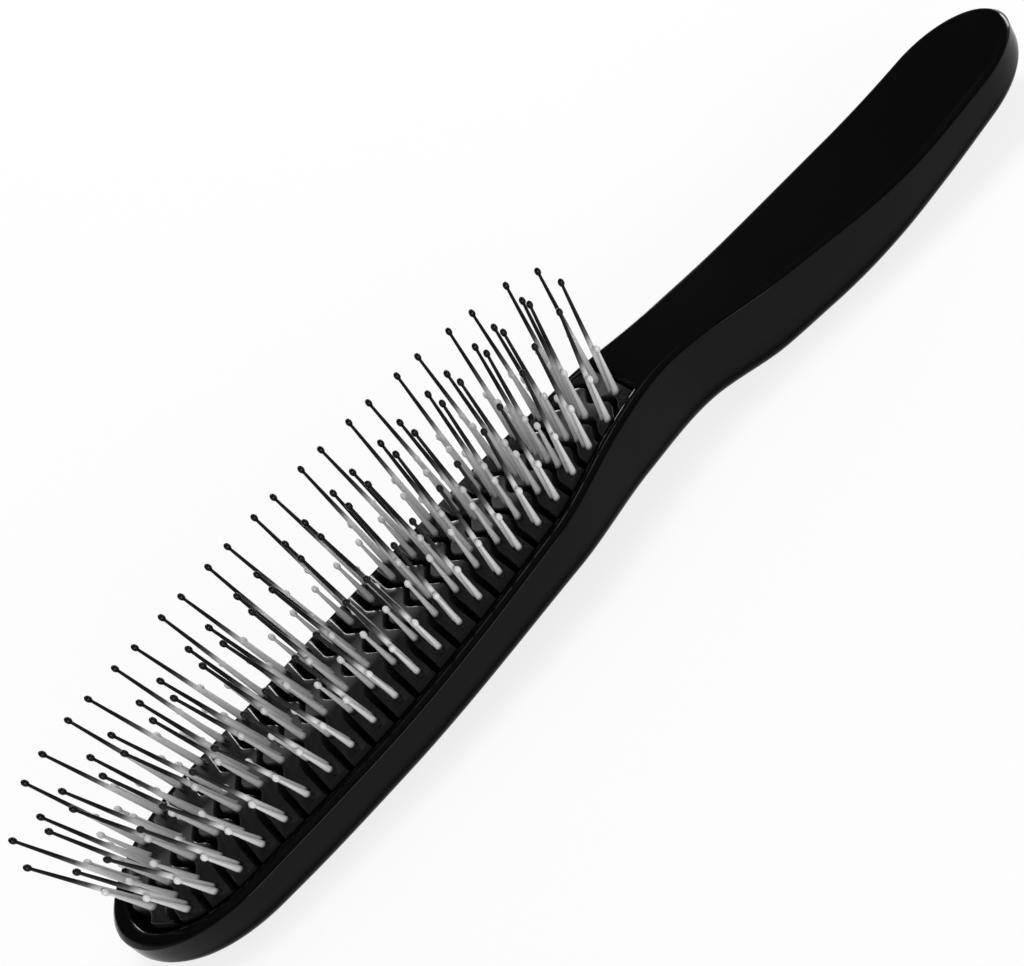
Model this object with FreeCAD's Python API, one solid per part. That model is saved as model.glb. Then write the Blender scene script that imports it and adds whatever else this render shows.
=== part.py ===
"""Scalp brush: a slim one-piece handle and head tray, filled with wavy cross strips of round-tipped pins.

Millimetres, +Z up, +X from the head tip to the handle end. The brush lies on its back at z = 0.
The pad of strips has its own frame: its plane rises towards the handle by PAD_TILT.
"""
import FreeCAD
import Part

import math
import os

V = FreeCAD.Vector

# Overall, and how the two ends round off in plan
LENGTH = 225.0
TIP_ROUND = 24.0
TIP_HALF_WIDTH = 18.6
END_ROUND = 17.0
END_HALF_WIDTH = 12.2

# Body in plan: half widths, at shares of the length from its middle
HEAD_X = -0.267 * LENGTH
HEAD_HALF_WIDTH = 19.1
SHOULDER_X = -0.071 * LENGTH
SHOULDER_HALF_WIDTH = 16.2
THROAT_X = 0.022 * LENGTH
THROAT_HALF_WIDTH = 11.2
NECK_X = 0.098 * LENGTH
NECK_HALF_WIDTH = 8.4
GRIP_START_X = 0.204 * LENGTH
GRIP_START_HALF_WIDTH = 10.7
GRIP_X = 0.329 * LENGTH
GRIP_HALF_WIDTH = 12.9

# Body in profile: heights of the upper face
TIP_TOP = 8.5
HEAD_TOP = 10.5
SHOULDER_TOP = 14.0
NECK_TOP = 17.7
NECK_TOP_X = 0.067 * LENGTH
GRIP_START_TOP = 14.6
GRIP_TOP = 13.2
END_TOP = 16.4

# Body in profile: heights of the back, and the two flat lands that it rests on
TIP_BACK = 0.6
HEAD_LAND_START = -0.44 * LENGTH
HEAD_LAND_END = -0.378 * LENGTH
HEAD_BACK = 0.9
ARCH_X = -0.027 * LENGTH
ARCH_RISE = 3.3
NECK_BACK = 2.4
GRIP_LAND_START = 0.178 * LENGTH
GRIP_LAND_END = 0.227 * LENGTH
GRIP_BACK = 3.1
GRIP_BACK_X = 0.364 * LENGTH
END_BACK = 7.8

# Edges of the body
BACK_ROUND = 4.5
TOP_BEVEL = 0.9
END_FLAT = 0.12
SECTION_STEP = 10.0
TIP_SECTIONS = 6
END_SECTIONS = 5
SEAM = 1e-5

# Tray in the head
RIM_WIDTH = 2.5
TIP_LIP = 1.4
TRAY_DEPTH = 4.5
TRAY_END_X = 0.0533 * LENGTH
TRAY_CORNER = 0.6

# Pad frame: the plane of the rim, above z = 0 at the middle of the length
PAD_TILT = 3.7
PAD_HEIGHT = 14.6

# Strips, spaced evenly from the tip's end of the tray to the neck's
STRIP_COUNT = 23
FIRST_STRIP_INSET = 6.8
LAST_STRIP_INSET = 2.7
FIRST_STRIP_X = -LENGTH / 2 + FIRST_STRIP_INSET
LAST_STRIP_X = TRAY_END_X - LAST_STRIP_INSET
STRIP_PITCH = (LAST_STRIP_X - FIRST_STRIP_X) / (STRIP_COUNT - 1)
STRIP_GAP = 1.1
STRIP_THICKNESS = STRIP_PITCH - STRIP_GAP
STRIP_CROWN = 2.1
STRIP_CROWN_RADIUS = 110.0
WAVE_HEIGHT = 1.9
WAVE_AT = 4.3
END_CLEARANCE = 0.2
FLOOR_CLEARANCE = 0.05

# Rows of pins along the brush: how far from its middle line, and how far off a strip's own
INNER_ROW = 2.85
INNER_ROW_SHIFT = -0.85
SINGLE_ROW = 8.55
SINGLE_ROW_SHIFT = -1.2
OUTER_ROW = 14.25
OUTER_ROW_SHIFT = 0.3
OUTER_ROW_EDGE = 1.9
END_STRIP_ROW = 8.0
END_STRIP_ROW_SHIFT = -0.9
CROWDED_ROW = 7.5

# Pins
LONG_PIN_SIDES = 5
SHORT_PIN_SIDES = 5
LONG_PIN = 24.5
SHORT_PIN = 10.4
PIN_ROOT_RADIUS = 0.62
PIN_NECK_RADIUS = 0.3
BEAD_RADIUS = 0.6
BEAD_LENGTH = 1.6
PIN_SINK = 0.6
PAIR_ALONG = 0.15
PAIR_ACROSS = 0.7

# How the pins lean, in degrees: fanned along the brush and across it, and strip by strip to and fro
FAN_ANGLE_MIDDLE = 0.5
FAN_ANGLE_STEP = 1.2
LEAN_ANGLE = 1.2
SPLAY_ANGLE = 14.0

HALF_WIDTHS = [
    (-LENGTH / 2 + TIP_ROUND, TIP_HALF_WIDTH),
    (HEAD_X, HEAD_HALF_WIDTH),
    (SHOULDER_X, SHOULDER_HALF_WIDTH),
    (THROAT_X, THROAT_HALF_WIDTH),
    (NECK_X, NECK_HALF_WIDTH),
    (GRIP_START_X, GRIP_START_HALF_WIDTH),
    (GRIP_X, GRIP_HALF_WIDTH),
    (LENGTH / 2 - END_ROUND, END_HALF_WIDTH),
]
TOPS = [
    (-LENGTH / 2, TIP_TOP),
    (HEAD_X, HEAD_TOP),
    (SHOULDER_X, SHOULDER_TOP),
    (NECK_TOP_X, NECK_TOP),
    (GRIP_START_X, GRIP_START_TOP),
    (GRIP_X, GRIP_TOP),
    (LENGTH / 2, END_TOP),
]
BACKS = [
    (-LENGTH / 2, TIP_BACK),
    (HEAD_LAND_START, 0.0),
    (HEAD_LAND_END, 0.0),
    (HEAD_X, HEAD_BACK),
    (ARCH_X, ARCH_RISE),
    (NECK_X, NECK_BACK),
    (GRIP_LAND_START, 0.0),
    (GRIP_LAND_END, 0.0),
    (GRIP_BACK_X, GRIP_BACK),
    (LENGTH / 2, END_BACK),
]


def blend(stations, x):
    """A smooth curve through the stations, level at each crest and hollow."""
    slopes = [(b[1] - a[1]) / (b[0] - a[0]) for a, b in zip(stations, stations[1:])]
    i = sum(1 for station in stations[1:-1] if x > station[0])
    tangents = []
    for j in (i, i + 1):
        before = slopes[max(j - 1, 0)]
        after = slopes[min(j, len(slopes) - 1)]
        level = before * after <= 0
        tangents.append(0.0 if level else 2 * before * after / (before + after))
    (x0, y0), (x1, y1) = stations[i], stations[i + 1]
    span = x1 - x0
    t = (x - x0) / span
    start = y0 * (1 + 2 * t) * (1 - t) ** 2 + tangents[0] * span * t * (1 - t) ** 2
    return start + y1 * t * t * (3 - 2 * t) - tangents[1] * span * t * t * (1 - t)


def half_width_at(x, inset=0.0, tip_inset=0.0):
    """Half the width of the plan at x, moved in by inset all round and by tip_inset more at the tip."""
    for centre, reach, width in (
        (-LENGTH / 2 + TIP_ROUND, -TIP_ROUND + inset + tip_inset, TIP_HALF_WIDTH - inset),
        (LENGTH / 2 - END_ROUND, END_ROUND - inset, END_HALF_WIDTH - inset),
    ):
        share = (x - centre) / reach
        if share > 0:
            return width * math.sqrt(max(0.0, 1 - share * share))
    return blend(HALF_WIDTHS, x) - inset


def end_lift(x, radius):
    """How far a rounding of this radius lifts the surface at x, near either end."""
    distance = LENGTH / 2 - abs(x)
    if distance >= radius:
        return 0.0
    return radius - math.sqrt(radius**2 - (radius - distance) ** 2)


def body_section(x):
    """One cross-section: flat top between bevels, upright sides, back rounded into them."""
    w = half_width_at(x)
    round_radius = min(BACK_ROUND, 0.8 * w)
    bevel = min(TOP_BEVEL, 0.3 * w)
    top = blend(TOPS, x) - end_lift(x, TOP_BEVEL)
    back = blend(BACKS, x) + end_lift(x, BACK_ROUND)
    diagonal = round_radius * (1 - math.sqrt(0.5))
    near = [
        V(x, -w + round_radius, back),
        V(x, -w + diagonal, back + diagonal),
        V(x, -w, back + round_radius),
        V(x, -w, top - bevel),
        V(x, -w + bevel, top),
    ]
    far = [V(p.x, -p.y, p.z) for p in near]
    edges = [
        Part.Arc(near[0], near[1], near[2]).toShape(),
        Part.makeLine(near[2], near[3]),
        Part.makeLine(near[3], near[4]),
        Part.makeLine(near[4], far[4]),
        Part.makeLine(far[4], far[3]),
        Part.makeLine(far[3], far[2]),
        Part.Arc(far[2], far[1], far[0]).toShape(),
        Part.makeLine(far[0], near[0]),
    ]
    return Part.Wire(edges)


def section_places():
    """Where the cross-sections stand: close together where an end rounds off, wider between."""
    tip = -LENGTH / 2
    end = LENGTH / 2
    tip_share = [(i / TIP_SECTIONS) ** 2 for i in range(TIP_SECTIONS)]
    end_share = [(i / END_SECTIONS) ** 2 for i in reversed(range(END_SECTIONS))]
    places = [tip + END_FLAT + (TIP_ROUND - END_FLAT) * share for share in tip_share]
    joints = [
        tip + TIP_ROUND,
        HEAD_LAND_END,
        NECK_TOP_X,
        GRIP_LAND_START,
        GRIP_LAND_END,
        end - END_ROUND,
    ]
    for start, stop in zip(joints, joints[1:]):
        count = math.ceil((stop - start) / SECTION_STEP)
        places += [start + (stop - start) * i / count for i in range(count)]
    places += [end - END_FLAT - (END_ROUND - END_FLAT) * share for share in [1.0] + end_share]
    return sorted(places + [HEAD_LAND_START])


def pad_placement():
    """From the pad frame to the frame of the brush."""
    return FreeCAD.Placement(V(0, 0, PAD_HEIGHT), FreeCAD.Rotation(V(0, 1, 0), -PAD_TILT))


def tray_plan(clearance=0.0):
    """The plan of the tray, inside the rim and closed at the neck, less a clearance all round."""
    inset = RIM_WIDTH + clearance
    tip = -LENGTH / 2 + inset + TIP_LIP
    reach = TIP_ROUND - inset - TIP_LIP
    places = [tip + reach * (i / TIP_SECTIONS) ** 2 for i in range(TIP_SECTIONS + 1)]
    run = TRAY_END_X - clearance - places[-1]
    count = math.ceil(run / SECTION_STEP)
    places += [places[TIP_SECTIONS] + run * (i + 1) / count for i in range(count)]
    near = [V(x, -half_width_at(x, inset, TIP_LIP), 0) for x in places]
    far = [V(p.x, -p.y, 0) for p in reversed(near[1:])]
    return Part.Face(Part.makePolygon(near + far + near[:1]))


def tray_pocket():
    """What is cut out of the head to seat the strips."""
    height = 2 * NECK_TOP
    pocket = tray_plan().extrude(V(0, 0, height))
    corners = [
        edge
        for edge in pocket.Edges
        if edge.BoundBox.ZLength > height / 2 and edge.BoundBox.XMax > TRAY_END_X - TRAY_CORNER
    ]
    pocket = pocket.makeFillet(TRAY_CORNER, corners)
    pocket.translate(V(0, 0, -TRAY_DEPTH))
    pocket.Placement = pad_placement().multiply(pocket.Placement)
    return pocket


def is_straight(edge):
    """Whether an edge is a straight line between its ends."""
    return abs(edge.Length - edge.Vertexes[0].Point.distanceToPoint(edge.Vertexes[-1].Point)) < SEAM


def true_flats(solid):
    """The same solid with each flat patch of the loft as a plane, and flush planes joined."""
    faces = []
    for face in solid.Faces:
        flat = face.findPlane(SEAM) and all(is_straight(edge) for edge in face.Edges)
        if flat:
            corners = [vertex.Point for vertex in face.OuterWire.OrderedVertexes]
            face = Part.Face(Part.makePolygon(corners + corners[:1]))
        faces.append(face)
    shell = Part.Shell(faces)
    shell.sewShape()
    whole = Part.Solid(shell)
    whole.fix(SEAM, SEAM, SEAM)
    return whole.removeSplitter()


def brush_body():
    """Handle and head tray, moulded as one piece."""
    body = Part.makeLoft([body_section(x) for x in section_places()], True, True)
    return true_flats(body).cut(tray_pocket())


def strip_centre(index):
    """Where along the pad a strip's own middle line lies."""
    return FIRST_STRIP_X + STRIP_PITCH * index


def drawn_in(index):
    """The share that a strip's rows of pins are drawn in by, where the head narrows."""
    room = half_width_at(strip_centre(index), RIM_WIDTH, TIP_LIP) - OUTER_ROW_EDGE
    return min(1.0, room / OUTER_ROW)


def crown_height(y):
    """Height of the domed top of the strips over the plane of the rim."""
    drop = STRIP_CROWN_RADIUS - math.sqrt(STRIP_CROWN_RADIUS**2 - y * y)
    return STRIP_CROWN - drop


def wave(y):
    """A strip's bend towards the neck, between its middle and its single pins."""
    turn = min(abs(y) / WAVE_AT, 2)
    return WAVE_HEIGHT * min(turn, 2 - turn)


def strip_bar(index):
    """A wavy bar across the tray, domed on top, cut to the tray at both ends."""
    half = STRIP_THICKNESS / 2
    places = [WAVE_AT, 2 * WAVE_AT, max(HEAD_HALF_WIDTH, TIP_HALF_WIDTH)]
    places = [-y for y in reversed(places)] + [0] + places
    ahead = [V(wave(y) + half, y, 0) for y in places]
    behind = [V(wave(y) - half, y, 0) for y in reversed(places)]
    base = -TRAY_DEPTH + FLOOR_CLEARANCE
    bar = Part.Face(Part.makePolygon(ahead + behind + ahead[:1]))
    bar = bar.extrude(V(0, 0, TRAY_DEPTH + STRIP_CROWN))
    bar.translate(V(0, 0, base))
    crown = [V(-STRIP_PITCH, y, crown_height(y)) for y in places]
    low = [V(-STRIP_PITCH, p.y, base) for p in (crown[-1], crown[0])]
    section = Part.Face(Part.makePolygon(crown + low + crown[:1]))
    bar = bar.common(section.extrude(V(3 * STRIP_PITCH, 0, 0)))
    bar.translate(V(strip_centre(index), 0, 0))
    tray = tray_plan(END_CLEARANCE).extrude(V(0, 0, TRAY_DEPTH + STRIP_CROWN))
    tray.translate(V(0, 0, base))
    return bar.common(tray)


def ring(origin, axis, across, sides, radius, distance):
    """The corners of a polygon round the pin's axis."""
    other = axis.cross(across)
    points = []
    for i in range(sides):
        turn = 2 * math.pi * i / sides
        spoke = across * math.cos(turn) + other * math.sin(turn)
        points.append(origin + axis * distance + spoke * radius)
    return points


def pin(foot, sides, length, fan, splay):
    """A tapered pin with a bead at its end; fan leans it along the brush, splay across it."""
    axis = V(
        math.cos(splay) * math.sin(fan),
        math.sin(splay),
        math.cos(splay) * math.cos(fan),
    )
    across = V(math.cos(fan), 0, -math.sin(fan))
    rings = [
        ring(foot, axis, across, sides, PIN_ROOT_RADIUS, -PIN_SINK),
        ring(foot, axis, across, sides, PIN_NECK_RADIUS, length - BEAD_LENGTH),
        ring(foot, axis, across, sides, BEAD_RADIUS, length - BEAD_LENGTH / 2),
    ]
    apex = foot + axis * length
    outlines = [list(reversed(rings[0]))]
    for i in range(sides):
        j = (i + 1) % sides
        for low, high in zip(rings, rings[1:]):
            outlines.append([low[i], low[j], high[j], high[i]])
        outlines.append([rings[-1][i], rings[-1][j], apex])
    faces = [Part.Face(Part.makePolygon(points + points[:1])) for points in outlines]
    return Part.Solid(Part.Shell(faces))


def long_pin(foot, fan, splay):
    """One of the pins that reach the scalp."""
    return pin(foot, LONG_PIN_SIDES, LONG_PIN, fan, splay)


def short_pin(foot, fan, splay):
    """One of the pins that stand between the long ones."""
    return pin(foot, SHORT_PIN_SIDES, SHORT_PIN, fan, splay)


def lone_pin(index, y, shift):
    """The short pin where a row of single pins crosses a strip."""
    fan = FAN_ANGLE_MIDDLE + FAN_ANGLE_STEP * (index - (STRIP_COUNT - 1) / 2)
    splay = SPLAY_ANGLE * y / OUTER_ROW
    foot = V(strip_centre(index) + wave(y) + shift, y, crown_height(y))
    return [short_pin(foot, math.radians(fan), math.radians(splay))]


def pin_pair(index, y, shift):
    """The long pin where a row of pairs crosses a strip, and the short one outside it."""
    lean = LEAN_ANGLE if index % 2 else -LEAN_ANGLE
    fan = FAN_ANGLE_MIDDLE + FAN_ANGLE_STEP * (index - (STRIP_COUNT - 1) / 2)
    splay = math.radians(SPLAY_ANGLE * y / OUTER_ROW)
    x = strip_centre(index) + wave(y) + shift
    inner = y - math.copysign(PAIR_ACROSS, y)
    outer = y + math.copysign(PAIR_ACROSS, y)
    inner_foot = V(x - PAIR_ALONG, inner, crown_height(inner))
    outer_foot = V(x + PAIR_ALONG, outer, crown_height(outer))
    return [
        long_pin(inner_foot, math.radians(fan + lean), splay),
        short_pin(outer_foot, math.radians(fan), splay),
    ]


def pin_strip(index):
    """One strip of the pad with its pins, moulded as one piece."""
    rows = [
        (pin_pair, INNER_ROW, INNER_ROW_SHIFT),
        (pin_pair, OUTER_ROW, OUTER_ROW_SHIFT),
        (lone_pin, SINGLE_ROW, SINGLE_ROW_SHIFT),
    ]
    if OUTER_ROW * drawn_in(index) < CROWDED_ROW:
        rows = rows[:2]
    if index in (0, STRIP_COUNT - 1):
        rows = [(pin_pair, END_STRIP_ROW, END_STRIP_ROW_SHIFT)]
    pins = []
    for make, row, shift in rows:
        y = row * drawn_in(index)
        pins += make(index, -y, shift) + make(index, y, shift)
    strip = strip_bar(index).fuse(pins)
    strip.Placement = pad_placement().multiply(strip.Placement)
    return strip


def write(node, shape):
    """Write one piece as its own file."""
    shape.exportStep("parts/" + node + ".step")


def main():
    os.makedirs("parts", exist_ok=True)
    write("brush_body", brush_body())
    for index in range(STRIP_COUNT):
        write(f"pin_strip_{index + 1:02d}", pin_strip(index))


main()
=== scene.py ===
"""Looks of the scalp brush: a glossy black body, wavy strips and bead-tipped pins, on a pale floor.

Sizes are millimetres in the frame of the CAD model, and become metres when a mesh is made.
The floor, the lamps and the materials are in metres.
"""
import math

import bmesh
import bpy
from mathutils import Matrix, Vector

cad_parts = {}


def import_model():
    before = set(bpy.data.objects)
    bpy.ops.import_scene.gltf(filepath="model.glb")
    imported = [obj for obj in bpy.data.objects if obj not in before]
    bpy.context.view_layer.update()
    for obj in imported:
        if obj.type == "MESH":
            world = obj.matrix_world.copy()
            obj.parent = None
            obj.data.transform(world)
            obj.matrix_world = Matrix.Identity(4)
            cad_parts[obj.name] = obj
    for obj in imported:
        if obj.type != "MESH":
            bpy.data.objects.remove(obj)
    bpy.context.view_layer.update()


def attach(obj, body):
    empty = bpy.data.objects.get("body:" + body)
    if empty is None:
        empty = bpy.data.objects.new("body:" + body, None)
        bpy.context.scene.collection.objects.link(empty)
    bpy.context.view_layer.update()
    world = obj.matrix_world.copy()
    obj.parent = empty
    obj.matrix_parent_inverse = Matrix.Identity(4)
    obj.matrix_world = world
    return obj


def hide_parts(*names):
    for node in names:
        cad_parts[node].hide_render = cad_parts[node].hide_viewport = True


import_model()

MM = 0.001
ROOT = "root"

# Overall, and how the two ends round off in plan
LENGTH = 225.0
TIP_ROUND = 24.0
TIP_HALF_WIDTH = 18.6
END_ROUND = 17.0
END_HALF_WIDTH = 12.2

# Body: half widths in plan, heights of its upper face and of its back, along the length
HEAD_HALF_WIDTH = 19.1
HALF_WIDTHS = [
    (-LENGTH / 2 + TIP_ROUND, TIP_HALF_WIDTH),
    (-0.267 * LENGTH, HEAD_HALF_WIDTH),
    (-0.071 * LENGTH, 16.2),
    (0.022 * LENGTH, 11.2),
    (0.098 * LENGTH, 8.4),
    (0.204 * LENGTH, 10.7),
    (0.329 * LENGTH, 12.9),
    (LENGTH / 2 - END_ROUND, END_HALF_WIDTH),
]
TOPS = [
    (-LENGTH / 2, 8.5),
    (-0.267 * LENGTH, 10.5),
    (-0.071 * LENGTH, 14.0),
    (0.067 * LENGTH, 17.7),
    (0.204 * LENGTH, 14.6),
    (0.329 * LENGTH, 13.2),
    (LENGTH / 2, 16.4),
]
BACKS = [
    (-LENGTH / 2, 0.6),
    (-0.44 * LENGTH, 0.0),
    (-0.378 * LENGTH, 0.0),
    (-0.267 * LENGTH, 0.9),
    (-0.027 * LENGTH, 3.3),
    (0.098 * LENGTH, 2.4),
    (0.178 * LENGTH, 0.0),
    (0.227 * LENGTH, 0.0),
    (0.364 * LENGTH, 3.1),
    (LENGTH / 2, 7.8),
]
BACK_ROUND = 4.5

# Bevel round the upper face: how far in and how far down each of its points lies
TOP_BEVEL = 0.9
BEVEL_POINTS = [(0.0, TOP_BEVEL), (0.04, 0.8), (0.82, 0.05), (0.94, 0.0)]

# Tray in the head, and the pad frame: the plane of the rim, rising towards the handle
RIM_WIDTH = 2.5
TIP_LIP = 1.4
RIM_ROUND = 0.8
TIP_RIM_ROUND = 1.9
TRAY_DEPTH = 4.5
TRAY_END_X = 0.0533 * LENGTH
TRAY_END_WALL = 0.02
PAD_TILT = math.radians(3.7)
PAD_HEIGHT = 14.6

# Strips
STRIP_COUNT = 23
FIRST_STRIP_X = -LENGTH / 2 + 6.8
LAST_STRIP_X = TRAY_END_X - 2.7
STRIP_PITCH = (LAST_STRIP_X - FIRST_STRIP_X) / (STRIP_COUNT - 1)
STRIP_THICKNESS = STRIP_PITCH - 1.1
STRIP_CROWN = 2.1
STRIP_CROWN_RADIUS = 110.0
STRIP_ROUND = 0.45
ROUND_MIDDLE = 0.29
WAVE_HEIGHT = 1.9
WAVE_AT = 4.3
END_CLEARANCE = 0.2
FLOOR_CLEARANCE = 0.05

# Rows of pins along the brush: how far from its middle line, and how far off a strip's own
INNER_ROW = 2.85
INNER_ROW_SHIFT = -0.85
SINGLE_ROW = 8.55
SINGLE_ROW_SHIFT = -1.2
OUTER_ROW = 14.25
OUTER_ROW_SHIFT = 0.3
OUTER_ROW_EDGE = 1.9
END_STRIP_ROW = 8.0
END_STRIP_ROW_SHIFT = -0.9
CROWDED_ROW = 7.5

# Pins
LONG_PIN = 24.5
SHORT_PIN = 10.4
PIN_ROOT_RADIUS = 0.60
PIN_NECK_RADIUS = 0.28
BEAD_RADIUS = 0.58
BEAD_LENGTH = 1.6
BEAD_DEGREES = (-50, -25, 0, 25, 50, 72)
PAIR_ACROSS = 0.7
FAN_ANGLE_MIDDLE = 0.5
FAN_ANGLE_STEP = 1.2
LEAN_ANGLE = 1.2
SPLAY_ANGLE = 14.0

# Flare at a pin's root: height over the strip, and share of the flare
PIN_FLARE = 0.25
FLARE_POINTS = [(-0.3, 1.0), (0.05, 0.6), (0.35, 0.15), (0.9, 0.0)]

# Where a bead starts: how far over the pin's neck, and how much wider
BEAD_START = 0.12
BEAD_START_FLARE = 0.02

# How finely the meshes are divided
TIP_STATIONS = 28
END_STATIONS = 22
RUN_STEP = 1.0
TRAY_END_STEPS = (-0.3, 0.0, TRAY_END_WALL, 0.06, 0.2, RIM_ROUND)
ARC_STEPS = 7
EDGE_STEPS = 6
WALL_SHARES = (0.35, 0.7, 0.97)
BACK_SHARES = (0.0, 0.5)
FLOOR_SHARES = (0.66, 0.33, 0.0)
BAR_STEPS = 42
HALVINGS = 40
PIN_SIDES = 12
BODY_SMOOTH_ANGLE = 34
STRIP_SMOOTH_ANGLE = 50
WELD_DISTANCE = 2e-6
SHORT_EDGE = 1e-6

# Materials
BODY_BLACK = (0.0015, 0.0015, 0.0015)
PIN_BLACK = (0.02, 0.02, 0.022)
ROUGHNESS_SPREAD = 0.15
GRAIN_DETAIL = 3.0
GRAIN_DEPTH = 0.0001

# Shine of the body, by the way that it faces: 0 is down, 0.5 sideways and 1 up; the low shine facing
# down and the lower shine on top are painted shade
BODY_SHINES_PAINTED_SHADE = [(0.38, 0.015), (0.49, 0.12), (0.85, 0.1), (0.97, 0.06)]

# Grey and shine of the strips and pins, from 1 mm under the strips' top to the long pins' tips: the
# strips are black, and the black pins carry a painted highlight, pale grey low down and black again
# towards their tips
PIN_PAINTED_HIGHLIGHT_GREYS = [
    (0.0, 0.009), (0.035, 0.009), (0.065, 0.42), (0.42, 0.55), (0.52, 0.05), (0.62, 0.003),
]
PIN_PAINTED_HIGHLIGHT_SHINES = [(0.0, 0.12), (0.04, 0.12), (0.07, 0.5), (0.5, 0.5), (0.65, 0.15)]

# Floor and surround
FLOOR_SIZE = 2.0
FLOOR_GREY = 0.9
FLOOR_ROUGHNESS = 0.9
FLOOR_WHITE = 0.8
SURROUND_GREYS = [(0.0, 0.95), (0.2, 0.9), (0.42, 0.10), (0.6, 0.10), (0.9, 0.35)]

# Soft lamps: name, place, target, width, height and power
LAMPS = [
    ("key", (0.1, 0.25, 1.0), (-0.03, 0, 0.02), 0.5, 0.5, 6.5),
    ("front", (-0.1, -1.0, 0.25), (-0.03, 0, 0.02), 0.7, 0.3, 7),
    ("side", (0.95, 0.3, 0.14), (0.05, 0, 0.02), 0.4, 0.2, 3),
    ("back", (0.2, 0.94, 0.17), (-0.1, 0, 0.01), 0.32, 0.14, 2.2),
]

# Camera, at the photograph's angle: its lens, and the pixel that it points at
CAMERA_PLACE = (-56.538, -256.314, 193.625)
CAMERA_FORWARD = (0.17899, 0.80670, -0.56320)
CAMERA_UP = (0.69465, 0.30176, 0.65300)
FRAME_WIDTH = 1024
FRAME_HEIGHT = 966
FOCAL_PIXELS = 1824.81
AXIS_PIXEL = (573.10, 433.31)
SENSOR = 36.0
CLIP_NEAR = 0.01
CLIP_FAR = 20.0


def blend(stations, x):
    """A smooth curve through the stations, level at each crest and hollow."""
    slopes = [(b[1] - a[1]) / (b[0] - a[0]) for a, b in zip(stations, stations[1:])]
    i = sum(1 for station in stations[1:-1] if x > station[0])
    tangents = []
    for j in (i, i + 1):
        before = slopes[max(j - 1, 0)]
        after = slopes[min(j, len(slopes) - 1)]
        level = before * after <= 0
        tangents.append(0.0 if level else 2 * before * after / (before + after))
    (x0, y0), (x1, y1) = stations[i], stations[i + 1]
    span = x1 - x0
    t = (x - x0) / span
    start = y0 * (1 + 2 * t) * (1 - t) ** 2 + tangents[0] * span * t * (1 - t) ** 2
    return start + y1 * t * t * (3 - 2 * t) - tangents[1] * span * t * t * (1 - t)


def half_width_at(x, inset=0.0, tip_inset=0.0):
    """Half the plan's width at x, moved in by inset, and by tip_inset more at the tip."""
    for centre, reach, width in (
        (-LENGTH / 2 + TIP_ROUND, -TIP_ROUND + inset + tip_inset, TIP_HALF_WIDTH - inset),
        (LENGTH / 2 - END_ROUND, END_ROUND - inset, END_HALF_WIDTH - inset),
    ):
        share = (x - centre) / reach
        if share > 0:
            return width * math.sqrt(max(0.0, 1 - share * share))
    return blend(HALF_WIDTHS, x) - inset


def pad_point(x, y, z):
    """From the pad frame to the frame of the brush."""
    return (
        x * math.cos(PAD_TILT) - z * math.sin(PAD_TILT),
        y,
        PAD_HEIGHT + x * math.sin(PAD_TILT) + z * math.cos(PAD_TILT),
    )


def mesh_object(name, points, faces, material, smooth_angle):
    """A mesh from points in millimetres, shaded smooth up to an angle."""
    mesh = bpy.data.meshes.new(name)
    mesh.from_pydata([(x * MM, y * MM, z * MM) for x, y, z in points], [], faces)
    mesh.validate()
    mesh.update()
    piece = bpy.data.objects.new(name, mesh)
    bpy.context.scene.collection.objects.link(piece)
    mesh.materials.append(material)
    mesh.polygons.foreach_set("use_smooth", [True] * len(mesh.polygons))
    mesh.set_sharp_from_angle(angle=math.radians(smooth_angle))
    return piece


def moulded_plastic(name, colour, roughness, grain, grain_scale, level):
    """Moulded plastic: a soft gloss with a very faint unevenness."""
    material = bpy.data.materials.new(name)
    material.use_nodes = True
    nodes = material.node_tree.nodes
    links = material.node_tree.links
    shader = nodes["Principled BSDF"]
    shader.inputs["Base Color"].default_value = (*colour, 1)
    shader.inputs["Specular IOR Level"].default_value = level
    shader.inputs["IOR"].default_value = 1.5
    place = nodes.new("ShaderNodeTexCoord")
    noise = nodes.new("ShaderNodeTexNoise")
    noise.inputs["Scale"].default_value = grain_scale
    noise.inputs["Detail"].default_value = GRAIN_DETAIL
    spread = nodes.new("ShaderNodeMapRange")
    spread.inputs["To Min"].default_value = roughness * (1 - ROUGHNESS_SPREAD)
    spread.inputs["To Max"].default_value = roughness * (1 + ROUGHNESS_SPREAD)
    bump = nodes.new("ShaderNodeBump")
    bump.inputs["Strength"].default_value = grain
    bump.inputs["Distance"].default_value = GRAIN_DEPTH
    links.new(place.outputs["Object"], noise.inputs["Vector"])
    links.new(noise.outputs["Fac"], spread.inputs["Value"])
    links.new(spread.outputs["Result"], shader.inputs["Roughness"])
    links.new(noise.outputs["Fac"], bump.inputs["Height"])
    links.new(bump.outputs["Normal"], shader.inputs["Normal"])
    return material


def grey_ramp(tree, value, stops):
    """A grey that follows a value from 0 to 1."""
    node = tree.nodes.new("ShaderNodeValToRGB")
    while len(node.color_ramp.elements) < len(stops):
        node.color_ramp.elements.new(0.5)
    for element, (spot, grey) in zip(node.color_ramp.elements, stops):
        element.position = spot
        element.color = (grey, grey, grey, 1)
    tree.links.new(value, node.inputs["Fac"])
    return node.outputs["Color"]


def painted_shade_by_facing(material):
    """Painted shade: the shine is full on the sides, and less on the top and on the rounding of the
    back, so that these read darker.
    """
    nodes = material.node_tree.nodes
    links = material.node_tree.links
    shape = nodes.new("ShaderNodeNewGeometry")
    split = nodes.new("ShaderNodeSeparateXYZ")
    facing = nodes.new("ShaderNodeMapRange")
    facing.inputs["From Min"].default_value = -1.0
    links.new(shape.outputs["Normal"], split.inputs["Vector"])
    links.new(split.outputs["Z"], facing.inputs["Value"])
    # painted shade: less shine on the back's rounding and on the top
    shine = grey_ramp(material.node_tree, facing.outputs["Result"], BODY_SHINES_PAINTED_SHADE)
    links.new(shine, nodes["Principled BSDF"].inputs["Specular IOR Level"])


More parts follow.
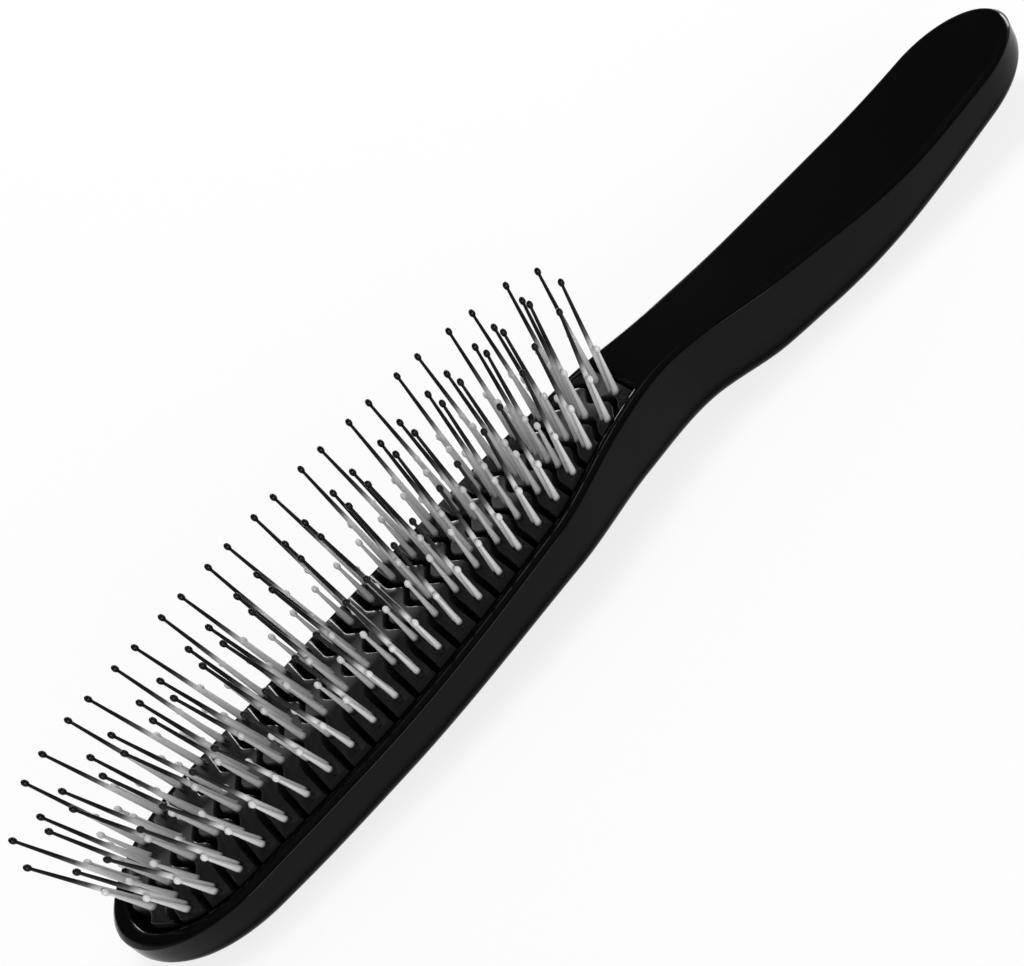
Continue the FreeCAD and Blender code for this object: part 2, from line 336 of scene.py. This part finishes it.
def painted_highlight_by_height(material):
    """Black strips; their black pins carry a painted highlight, pale grey low down, fading back to
    black towards their tips.
    """
    nodes = material.node_tree.nodes
    links = material.node_tree.links
    shader = nodes["Principled BSDF"]
    place = nodes.new("ShaderNodeTexCoord")
    along = nodes.new("ShaderNodeVectorMath")
    along.operation = "DOT_PRODUCT"
    along.inputs[1].default_value = (-math.sin(PAD_TILT), 0, math.cos(PAD_TILT))
    height = nodes.new("ShaderNodeMapRange")
    base = PAD_HEIGHT * math.cos(PAD_TILT) + STRIP_CROWN
    height.inputs["From Min"].default_value = (base - 1.0) * MM
    height.inputs["From Max"].default_value = (base + LONG_PIN) * MM
    links.new(place.outputs["Object"], along.inputs[0])
    links.new(along.outputs["Value"], height.inputs["Value"])
    # painted highlight: pale grey on the lower part of the black pins, black on the strips and pin
    # tips
    grey = grey_ramp(material.node_tree, height.outputs["Result"], PIN_PAINTED_HIGHLIGHT_GREYS)
    shine = grey_ramp(material.node_tree, height.outputs["Result"], PIN_PAINTED_HIGHLIGHT_SHINES)
    links.new(grey, shader.inputs["Base Color"])
    links.new(shine, shader.inputs["Specular IOR Level"])


def station_places():
    """Stations round the plan: angles on the tip's curve, places on the run, angles on the end's."""
    run_start = -LENGTH / 2 + TIP_ROUND
    run_end = LENGTH / 2 - END_ROUND
    places = [("tip", math.pi / 2 * i / TIP_STATIONS) for i in range(TIP_STATIONS)]
    count = round((run_end - run_start) / RUN_STEP)
    run = [run_start + (run_end - run_start) * i / count for i in range(count + 1)]
    run = [x for x in run if abs(x - TRAY_END_X) > RIM_ROUND]
    run += [TRAY_END_X + step for step in TRAY_END_STEPS]
    places += [("run", x) for x in sorted(run)]
    places += [("end", math.pi / 2 * (1 - i / END_STATIONS)) for i in range(1, END_STATIONS + 1)]
    return places


def plan_point(place, inset, tip_inset=0.0):
    """x and y of a station on the outline moved in by inset, and by tip_inset more at the tip."""
    kind, value = place
    if kind == "tip":
        x = -LENGTH / 2 + TIP_ROUND - (TIP_ROUND - inset - tip_inset) * math.cos(value)
        return x, (TIP_HALF_WIDTH - inset) * math.sin(value)
    if kind == "end":
        x = LENGTH / 2 - END_ROUND + (END_ROUND - inset) * math.cos(value)
        return x, (END_HALF_WIDTH - inset) * math.sin(value)
    return value, half_width_at(value, inset)


def body_profile(place):
    """The points of one station from the back's middle, round the side, to the top's middle."""
    x, y = plan_point(place, BACK_ROUND)
    rows = [(x, y * share, blend(BACKS, x)) for share in BACK_SHARES]
    for i in range(ARC_STEPS + 1):
        turn = math.pi / 2 * i / ARC_STEPS
        x, y = plan_point(place, BACK_ROUND * (1 - math.sin(turn)))
        rows.append((x, y, blend(BACKS, x) + BACK_ROUND * (1 - math.cos(turn))))
    x, y = plan_point(place, 0.0)
    top = blend(TOPS, x)
    low = blend(BACKS, x) + BACK_ROUND
    high = top - TOP_BEVEL
    rows += [(x, y, low + (high - low) * share) for share in WALL_SHARES]
    for inset, drop in BEVEL_POINTS:
        x, y = plan_point(place, inset)
        rows.append((x, y, blend(TOPS, x) - drop))
    return rows


def rim_round(place):
    """The rounding of the rim's inner edge, broader round the tip."""
    kind, value = place
    if kind != "tip":
        return RIM_ROUND
    return RIM_ROUND + (TIP_RIM_ROUND - RIM_ROUND) * math.cos(value) ** 2


def tray_profile(place):
    """From the rim's bevel to the tray's middle, or straight over the top past its end."""
    rows = []
    edge = rim_round(place)
    x, y = plan_point(place, RIM_WIDTH, TIP_LIP)
    in_tray = x < TRAY_END_X + TRAY_END_WALL / 2
    past = (x - TRAY_END_X - TRAY_END_WALL) / (RIM_ROUND - TRAY_END_WALL)
    past = max(0.0, min(1.0, past))
    for i in range(EDGE_STEPS + 1):
        turn = math.pi / 2 * i / EDGE_STEPS
        x, y = plan_point(place, RIM_WIDTH - edge * (1 - math.sin(turn)), TIP_LIP)
        drop = edge * (1 - math.cos(turn)) if in_tray else 0.0
        rows.append((x, y, blend(TOPS, x) - drop))
    x, y = plan_point(place, RIM_WIDTH, TIP_LIP)
    level = blend(TOPS, x)
    wall_drop = RIM_ROUND * (1 - math.sqrt(max(0.0, 1 - (1 - past) ** 2)))
    floor = pad_point(x, y, -TRAY_DEPTH)[2] if in_tray else level - wall_drop
    rows.append((x, y, floor))
    rows += [(x, y * share, floor) for share in FLOOR_SHARES]
    return rows


def brush_body(material):
    """Handle, neck and head tray, moulded as one piece."""
    stations = [body_profile(place) + tray_profile(place) for place in station_places()]
    count = len(stations[0])
    points = []
    for rows in stations:
        points += rows
        points += [(x, -y, z) for x, y, z in rows]
    faces = []
    for s in range(len(stations) - 1):
        here = s * 2 * count
        there = here + 2 * count
        for r in range(count - 1):
            faces.append((here + r, here + r + 1, there + r + 1, there + r))
            a = here + count + r
            b = there + count + r
            faces.append((a, b, b + 1, a + 1))
    piece = mesh_object("body_shell", points, faces, material, BODY_SMOOTH_ANGLE)
    weld(piece)
    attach(piece, ROOT)
    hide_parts("brush_body")


def weld(piece):
    """Joins the doubled points on the mirror plane and at the two ends."""
    work = bmesh.new()
    work.from_mesh(piece.data)
    bmesh.ops.remove_doubles(work, verts=work.verts, dist=WELD_DISTANCE)
    bmesh.ops.dissolve_degenerate(work, edges=work.edges, dist=SHORT_EDGE)
    bmesh.ops.recalc_face_normals(work, faces=work.faces)
    work.to_mesh(piece.data)
    work.free()


def strip_centre(index):
    """Where along the pad a strip's own middle line lies."""
    return FIRST_STRIP_X + STRIP_PITCH * index


def drawn_in(index):
    """The share that a strip's rows of pins are drawn in by, where the head narrows."""
    room = half_width_at(strip_centre(index), RIM_WIDTH, TIP_LIP) - OUTER_ROW_EDGE
    return min(1.0, room / OUTER_ROW)


def crown_height(y):
    """Height of the domed top of the strips over the plane of the rim."""
    return STRIP_CROWN - (STRIP_CROWN_RADIUS - math.sqrt(STRIP_CROWN_RADIUS**2 - y * y))


def wave(y):
    """A strip's bend towards the neck, between its middle and its single pins."""
    turn = min(abs(y) / WAVE_AT, 2)
    return WAVE_HEIGHT * (1 - math.cos(math.pi * turn)) / 2


def tray_front(y):
    """The x where the tray's curved tip stands at y, less the strips' clearance."""
    inset = RIM_WIDTH + END_CLEARANCE
    share = min(1.0, abs(y) / (TIP_HALF_WIDTH - inset))
    return -LENGTH / 2 + TIP_ROUND - (TIP_ROUND - inset - TIP_LIP) * math.sqrt(1 - share * share)


def tray_reach(x):
    """The farthest y that a strip reaches at x."""
    return half_width_at(x, RIM_WIDTH + END_CLEARANCE, TIP_LIP)


def strip_bar(index):
    """A wavy bar across the tray, with softly rounded top edges and domed along its length."""
    centre = strip_centre(index)
    half = STRIP_THICKNESS / 2
    base = -TRAY_DEPTH + FLOOR_CLEARANCE
    back = TRAY_END_X - END_CLEARANCE

    def span(y):
        """Front and back x of the bar at y, kept inside the tray's two ends."""
        x = centre + wave(y)
        return max(tray_front(y), x - half), min(back, x + half)

    def reach(side):
        """Where the bar's end meets the tray's wall, on that side of the bar."""
        low, high = 0.0, HEAD_HALF_WIDTH
        for _ in range(HALVINGS):
            y = (low + high) / 2
            if y < tray_reach(span(y)[side]):
                low = y
            else:
                high = y
        return low

    # The first strip's front follows the tray's tip, so its back gives both ends
    ends = (reach(1) if index == 0 else reach(0), reach(1))
    points = []
    rows = []
    for i in range(BAR_STEPS + 1):
        share = 2 * i / BAR_STEPS - 1
        row = []
        for side, sign in ((0, 1), (1, -1)):
            y = share * ends[side]
            x = span(y)[side]
            top = crown_height(y)
            for inward, height in (
                (0.0, base),
                (0.0, top - STRIP_ROUND),
                (STRIP_ROUND * ROUND_MIDDLE, top - STRIP_ROUND * ROUND_MIDDLE),
                (STRIP_ROUND, top),
            ):
                row.append(len(points))
                points.append(pad_point(x + sign * inward, y, height))
        rows.append(row[:4] + row[:3:-1])
    faces = []
    for a, b in zip(rows, rows[1:]):
        for j in range(len(a)):
            n = (j + 1) % len(a)
            faces.append((a[j], a[n], b[n], b[j]))
    faces.append(tuple(reversed(rows[0])))
    faces.append(tuple(rows[-1]))
    return points, faces


def pin(points, faces, foot, length, fan, splay):
    """Adds a tapered round pin with a bead; fan leans it along the brush, splay across it."""
    fan = math.radians(fan)
    splay = math.radians(splay)
    level = math.cos(splay)
    axis = Vector((level * math.sin(fan), math.sin(splay), level * math.cos(fan)))
    across = Vector((math.cos(fan), 0, -math.sin(fan)))
    other = axis.cross(across)
    foot = Vector(foot)
    neck = length - BEAD_LENGTH
    rings = [(height, PIN_ROOT_RADIUS + PIN_FLARE * share) for height, share in FLARE_POINTS]
    rings += [
        (neck * 0.5, (PIN_ROOT_RADIUS + PIN_NECK_RADIUS) / 2),
        (neck, PIN_NECK_RADIUS),
        (neck + BEAD_START, PIN_NECK_RADIUS + BEAD_START_FLARE),
    ]
    middle = length - BEAD_LENGTH / 2
    for degrees in BEAD_DEGREES:
        turn = math.radians(degrees)
        rings.append((middle + BEAD_LENGTH / 2 * math.sin(turn), BEAD_RADIUS * math.cos(turn)))
    first = len(points)
    for distance, radius in rings:
        for i in range(PIN_SIDES):
            turn = 2 * math.pi * i / PIN_SIDES
            outward = across * math.cos(turn) + other * math.sin(turn)
            points.append(pad_point(*(foot + axis * distance + outward * radius)))
    tip = len(points)
    points.append(pad_point(*(foot + axis * length)))
    for r in range(len(rings) - 1):
        for i in range(PIN_SIDES):
            j = (i + 1) % PIN_SIDES
            a = first + r * PIN_SIDES
            b = a + PIN_SIDES
            faces.append((a + i, a + j, b + j, b + i))
    last = first + (len(rings) - 1) * PIN_SIDES
    for i in range(PIN_SIDES):
        faces.append((last + i, last + (i + 1) % PIN_SIDES, tip))
    faces.append(tuple(first + i for i in reversed(range(PIN_SIDES))))


def fan_angle(index):
    """How far a strip's pins lean along the brush."""
    return FAN_ANGLE_MIDDLE + FAN_ANGLE_STEP * (index - (STRIP_COUNT - 1) / 2)


def splay_angle(y):
    """How far a row's pins lean across the brush."""
    return SPLAY_ANGLE * y / OUTER_ROW


def lone_pin(points, faces, index, y, shift):
    """The short pin where a row of single pins crosses a strip."""
    foot = (strip_centre(index) + wave(y) + shift, y, crown_height(y))
    pin(points, faces, foot, SHORT_PIN, fan_angle(index), splay_angle(y))


def pin_pair(points, faces, index, y, shift):
    """The long pin where a row of pairs crosses a strip, and the short one outside it."""
    lean = LEAN_ANGLE if index % 2 else -LEAN_ANGLE
    fan = fan_angle(index)
    splay = splay_angle(y)
    x = strip_centre(index) + wave(y) + shift
    inner = y - math.copysign(PAIR_ACROSS, y)
    outer = y + math.copysign(PAIR_ACROSS, y)
    pin(points, faces, (x, inner, crown_height(inner)), LONG_PIN, fan + lean, splay)
    pin(points, faces, (x, outer, crown_height(outer)), SHORT_PIN, fan, splay)


def pin_strip(index, material):
    """One strip of the pad with its pins, moulded as one piece."""
    points, faces = strip_bar(index)
    rows = [
        (pin_pair, INNER_ROW, INNER_ROW_SHIFT),
        (pin_pair, OUTER_ROW, OUTER_ROW_SHIFT),
        (lone_pin, SINGLE_ROW, SINGLE_ROW_SHIFT),
    ]
    if OUTER_ROW * drawn_in(index) < CROWDED_ROW:
        rows = rows[:2]
    if index in (0, STRIP_COUNT - 1):
        rows = [(pin_pair, END_STRIP_ROW, END_STRIP_ROW_SHIFT)]
    for make, row, shift in rows:
        y = row * drawn_in(index)
        make(points, faces, index, -y, shift)
        make(points, faces, index, y, shift)
    name = f"wavy_strip_{index + 1:02d}"
    piece = mesh_object(name, points, faces, material, STRIP_SMOOTH_ANGLE)
    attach(piece, ROOT)
    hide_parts(f"pin_strip_{index + 1:02d}")


def floor():
    """A plain pale floor that keeps the shadow and reads as white to the camera."""
    mesh = bpy.data.meshes.new("floor")
    s = FLOOR_SIZE / 2
    mesh.from_pydata([(-s, -s, 0), (s, -s, 0), (s, s, 0), (-s, s, 0)], [], [(0, 1, 2, 3)])
    piece = bpy.data.objects.new("floor", mesh)
    bpy.context.scene.collection.objects.link(piece)
    material = bpy.data.materials.new("floor_pale")
    material.use_nodes = True
    nodes = material.node_tree.nodes
    links = material.node_tree.links
    shader = nodes["Principled BSDF"]
    shader.inputs["Base Color"].default_value = (FLOOR_GREY, FLOOR_GREY, FLOOR_GREY, 1)
    shader.inputs["Roughness"].default_value = FLOOR_ROUGHNESS
    shader.inputs["Specular IOR Level"].default_value = 0.0
    white = nodes.new("ShaderNodeEmission")
    white.inputs["Color"].default_value = (1, 1, 1, 1)
    white.inputs["Strength"].default_value = 1.0
    path = nodes.new("ShaderNodeLightPath")
    seen = path.outputs["Is Camera Ray"]
    for kind in ("Is Glossy Ray", "Is Transmission Ray"):
        either = nodes.new("ShaderNodeMath")
        either.operation = "MAXIMUM"
        links.new(seen, either.inputs[0])
        links.new(path.outputs[kind], either.inputs[1])
        seen = either.outputs["Value"]
    share = nodes.new("ShaderNodeMath")
    share.operation = "MULTIPLY"
    share.inputs[1].default_value = FLOOR_WHITE
    mix = nodes.new("ShaderNodeMixShader")
    links.new(seen, share.inputs[0])
    links.new(share.outputs["Value"], mix.inputs["Fac"])
    links.new(shader.outputs["BSDF"], mix.inputs[1])
    links.new(white.outputs["Emission"], mix.inputs[2])
    links.new(mix.outputs["Shader"], nodes["Material Output"].inputs["Surface"])
    mesh.materials.append(material)


def soft_light(name, place, target, width, height, power):
    """A rectangular soft lamp that faces the target."""
    data = bpy.data.lights.new(name, "AREA")
    data.shape = "RECTANGLE"
    data.size = width
    data.size_y = height
    data.energy = power
    lamp = bpy.data.objects.new(name, data)
    bpy.context.scene.collection.objects.link(lamp)
    lamp.location = place
    aim = Vector(target) - Vector(place)
    lamp.rotation_euler = aim.to_track_quat("-Z", "Y").to_euler()


def world():
    """A surround that is white near the horizon and dim overhead."""
    surround = bpy.data.worlds.new("surround")
    surround.use_nodes = True
    nodes = surround.node_tree.nodes
    links = surround.node_tree.links
    place = nodes.new("ShaderNodeTexCoord")
    split = nodes.new("ShaderNodeSeparateXYZ")
    links.new(place.outputs["Generated"], split.inputs["Vector"])
    grey = grey_ramp(surround.node_tree, split.outputs["Z"], SURROUND_GREYS)
    links.new(grey, nodes["Background"].inputs["Color"])
    bpy.context.scene.world = surround


def camera():
    """The photograph's viewing angle."""
    data = bpy.data.cameras.new("camera")
    data.sensor_fit = "HORIZONTAL"
    data.sensor_width = SENSOR
    data.lens = FOCAL_PIXELS * SENSOR / FRAME_WIDTH
    data.shift_x = (FRAME_WIDTH / 2 - AXIS_PIXEL[0]) / FRAME_WIDTH
    data.shift_y = (AXIS_PIXEL[1] - FRAME_HEIGHT / 2) / FRAME_WIDTH
    data.clip_start = CLIP_NEAR
    data.clip_end = CLIP_FAR
    piece = bpy.data.objects.new("camera", data)
    bpy.context.scene.collection.objects.link(piece)
    forward = Vector(CAMERA_FORWARD).normalized()
    right = forward.cross(Vector(CAMERA_UP)).normalized()
    up = right.cross(forward)
    turn = Matrix((right, up, -forward)).transposed()
    piece.matrix_world = Matrix.Translation(Vector(CAMERA_PLACE) * MM) @ turn.to_4x4()
    bpy.context.scene.camera = piece


def main():
    body_material = moulded_plastic(
        "body_gloss", BODY_BLACK, roughness=0.12, grain=0.03, grain_scale=60, level=0.1
    )
    # painted shade: duller shine where the body faces down, and on its top
    painted_shade_by_facing(body_material)
    pin_material = moulded_plastic(
        "pin_plastic", PIN_BLACK, roughness=0.16, grain=0.05, grain_scale=200, level=0.5
    )
    # painted highlight on the black pins: pale grey low down, black at the tips
    painted_highlight_by_height(pin_material)
    brush_body(body_material)
    for index in range(STRIP_COUNT):
        pin_strip(index, pin_material)
    floor()
    world()
    for lamp in LAMPS:
        soft_light(*lamp)
    bpy.context.scene.view_settings.view_transform = "Standard"
    camera()


main()
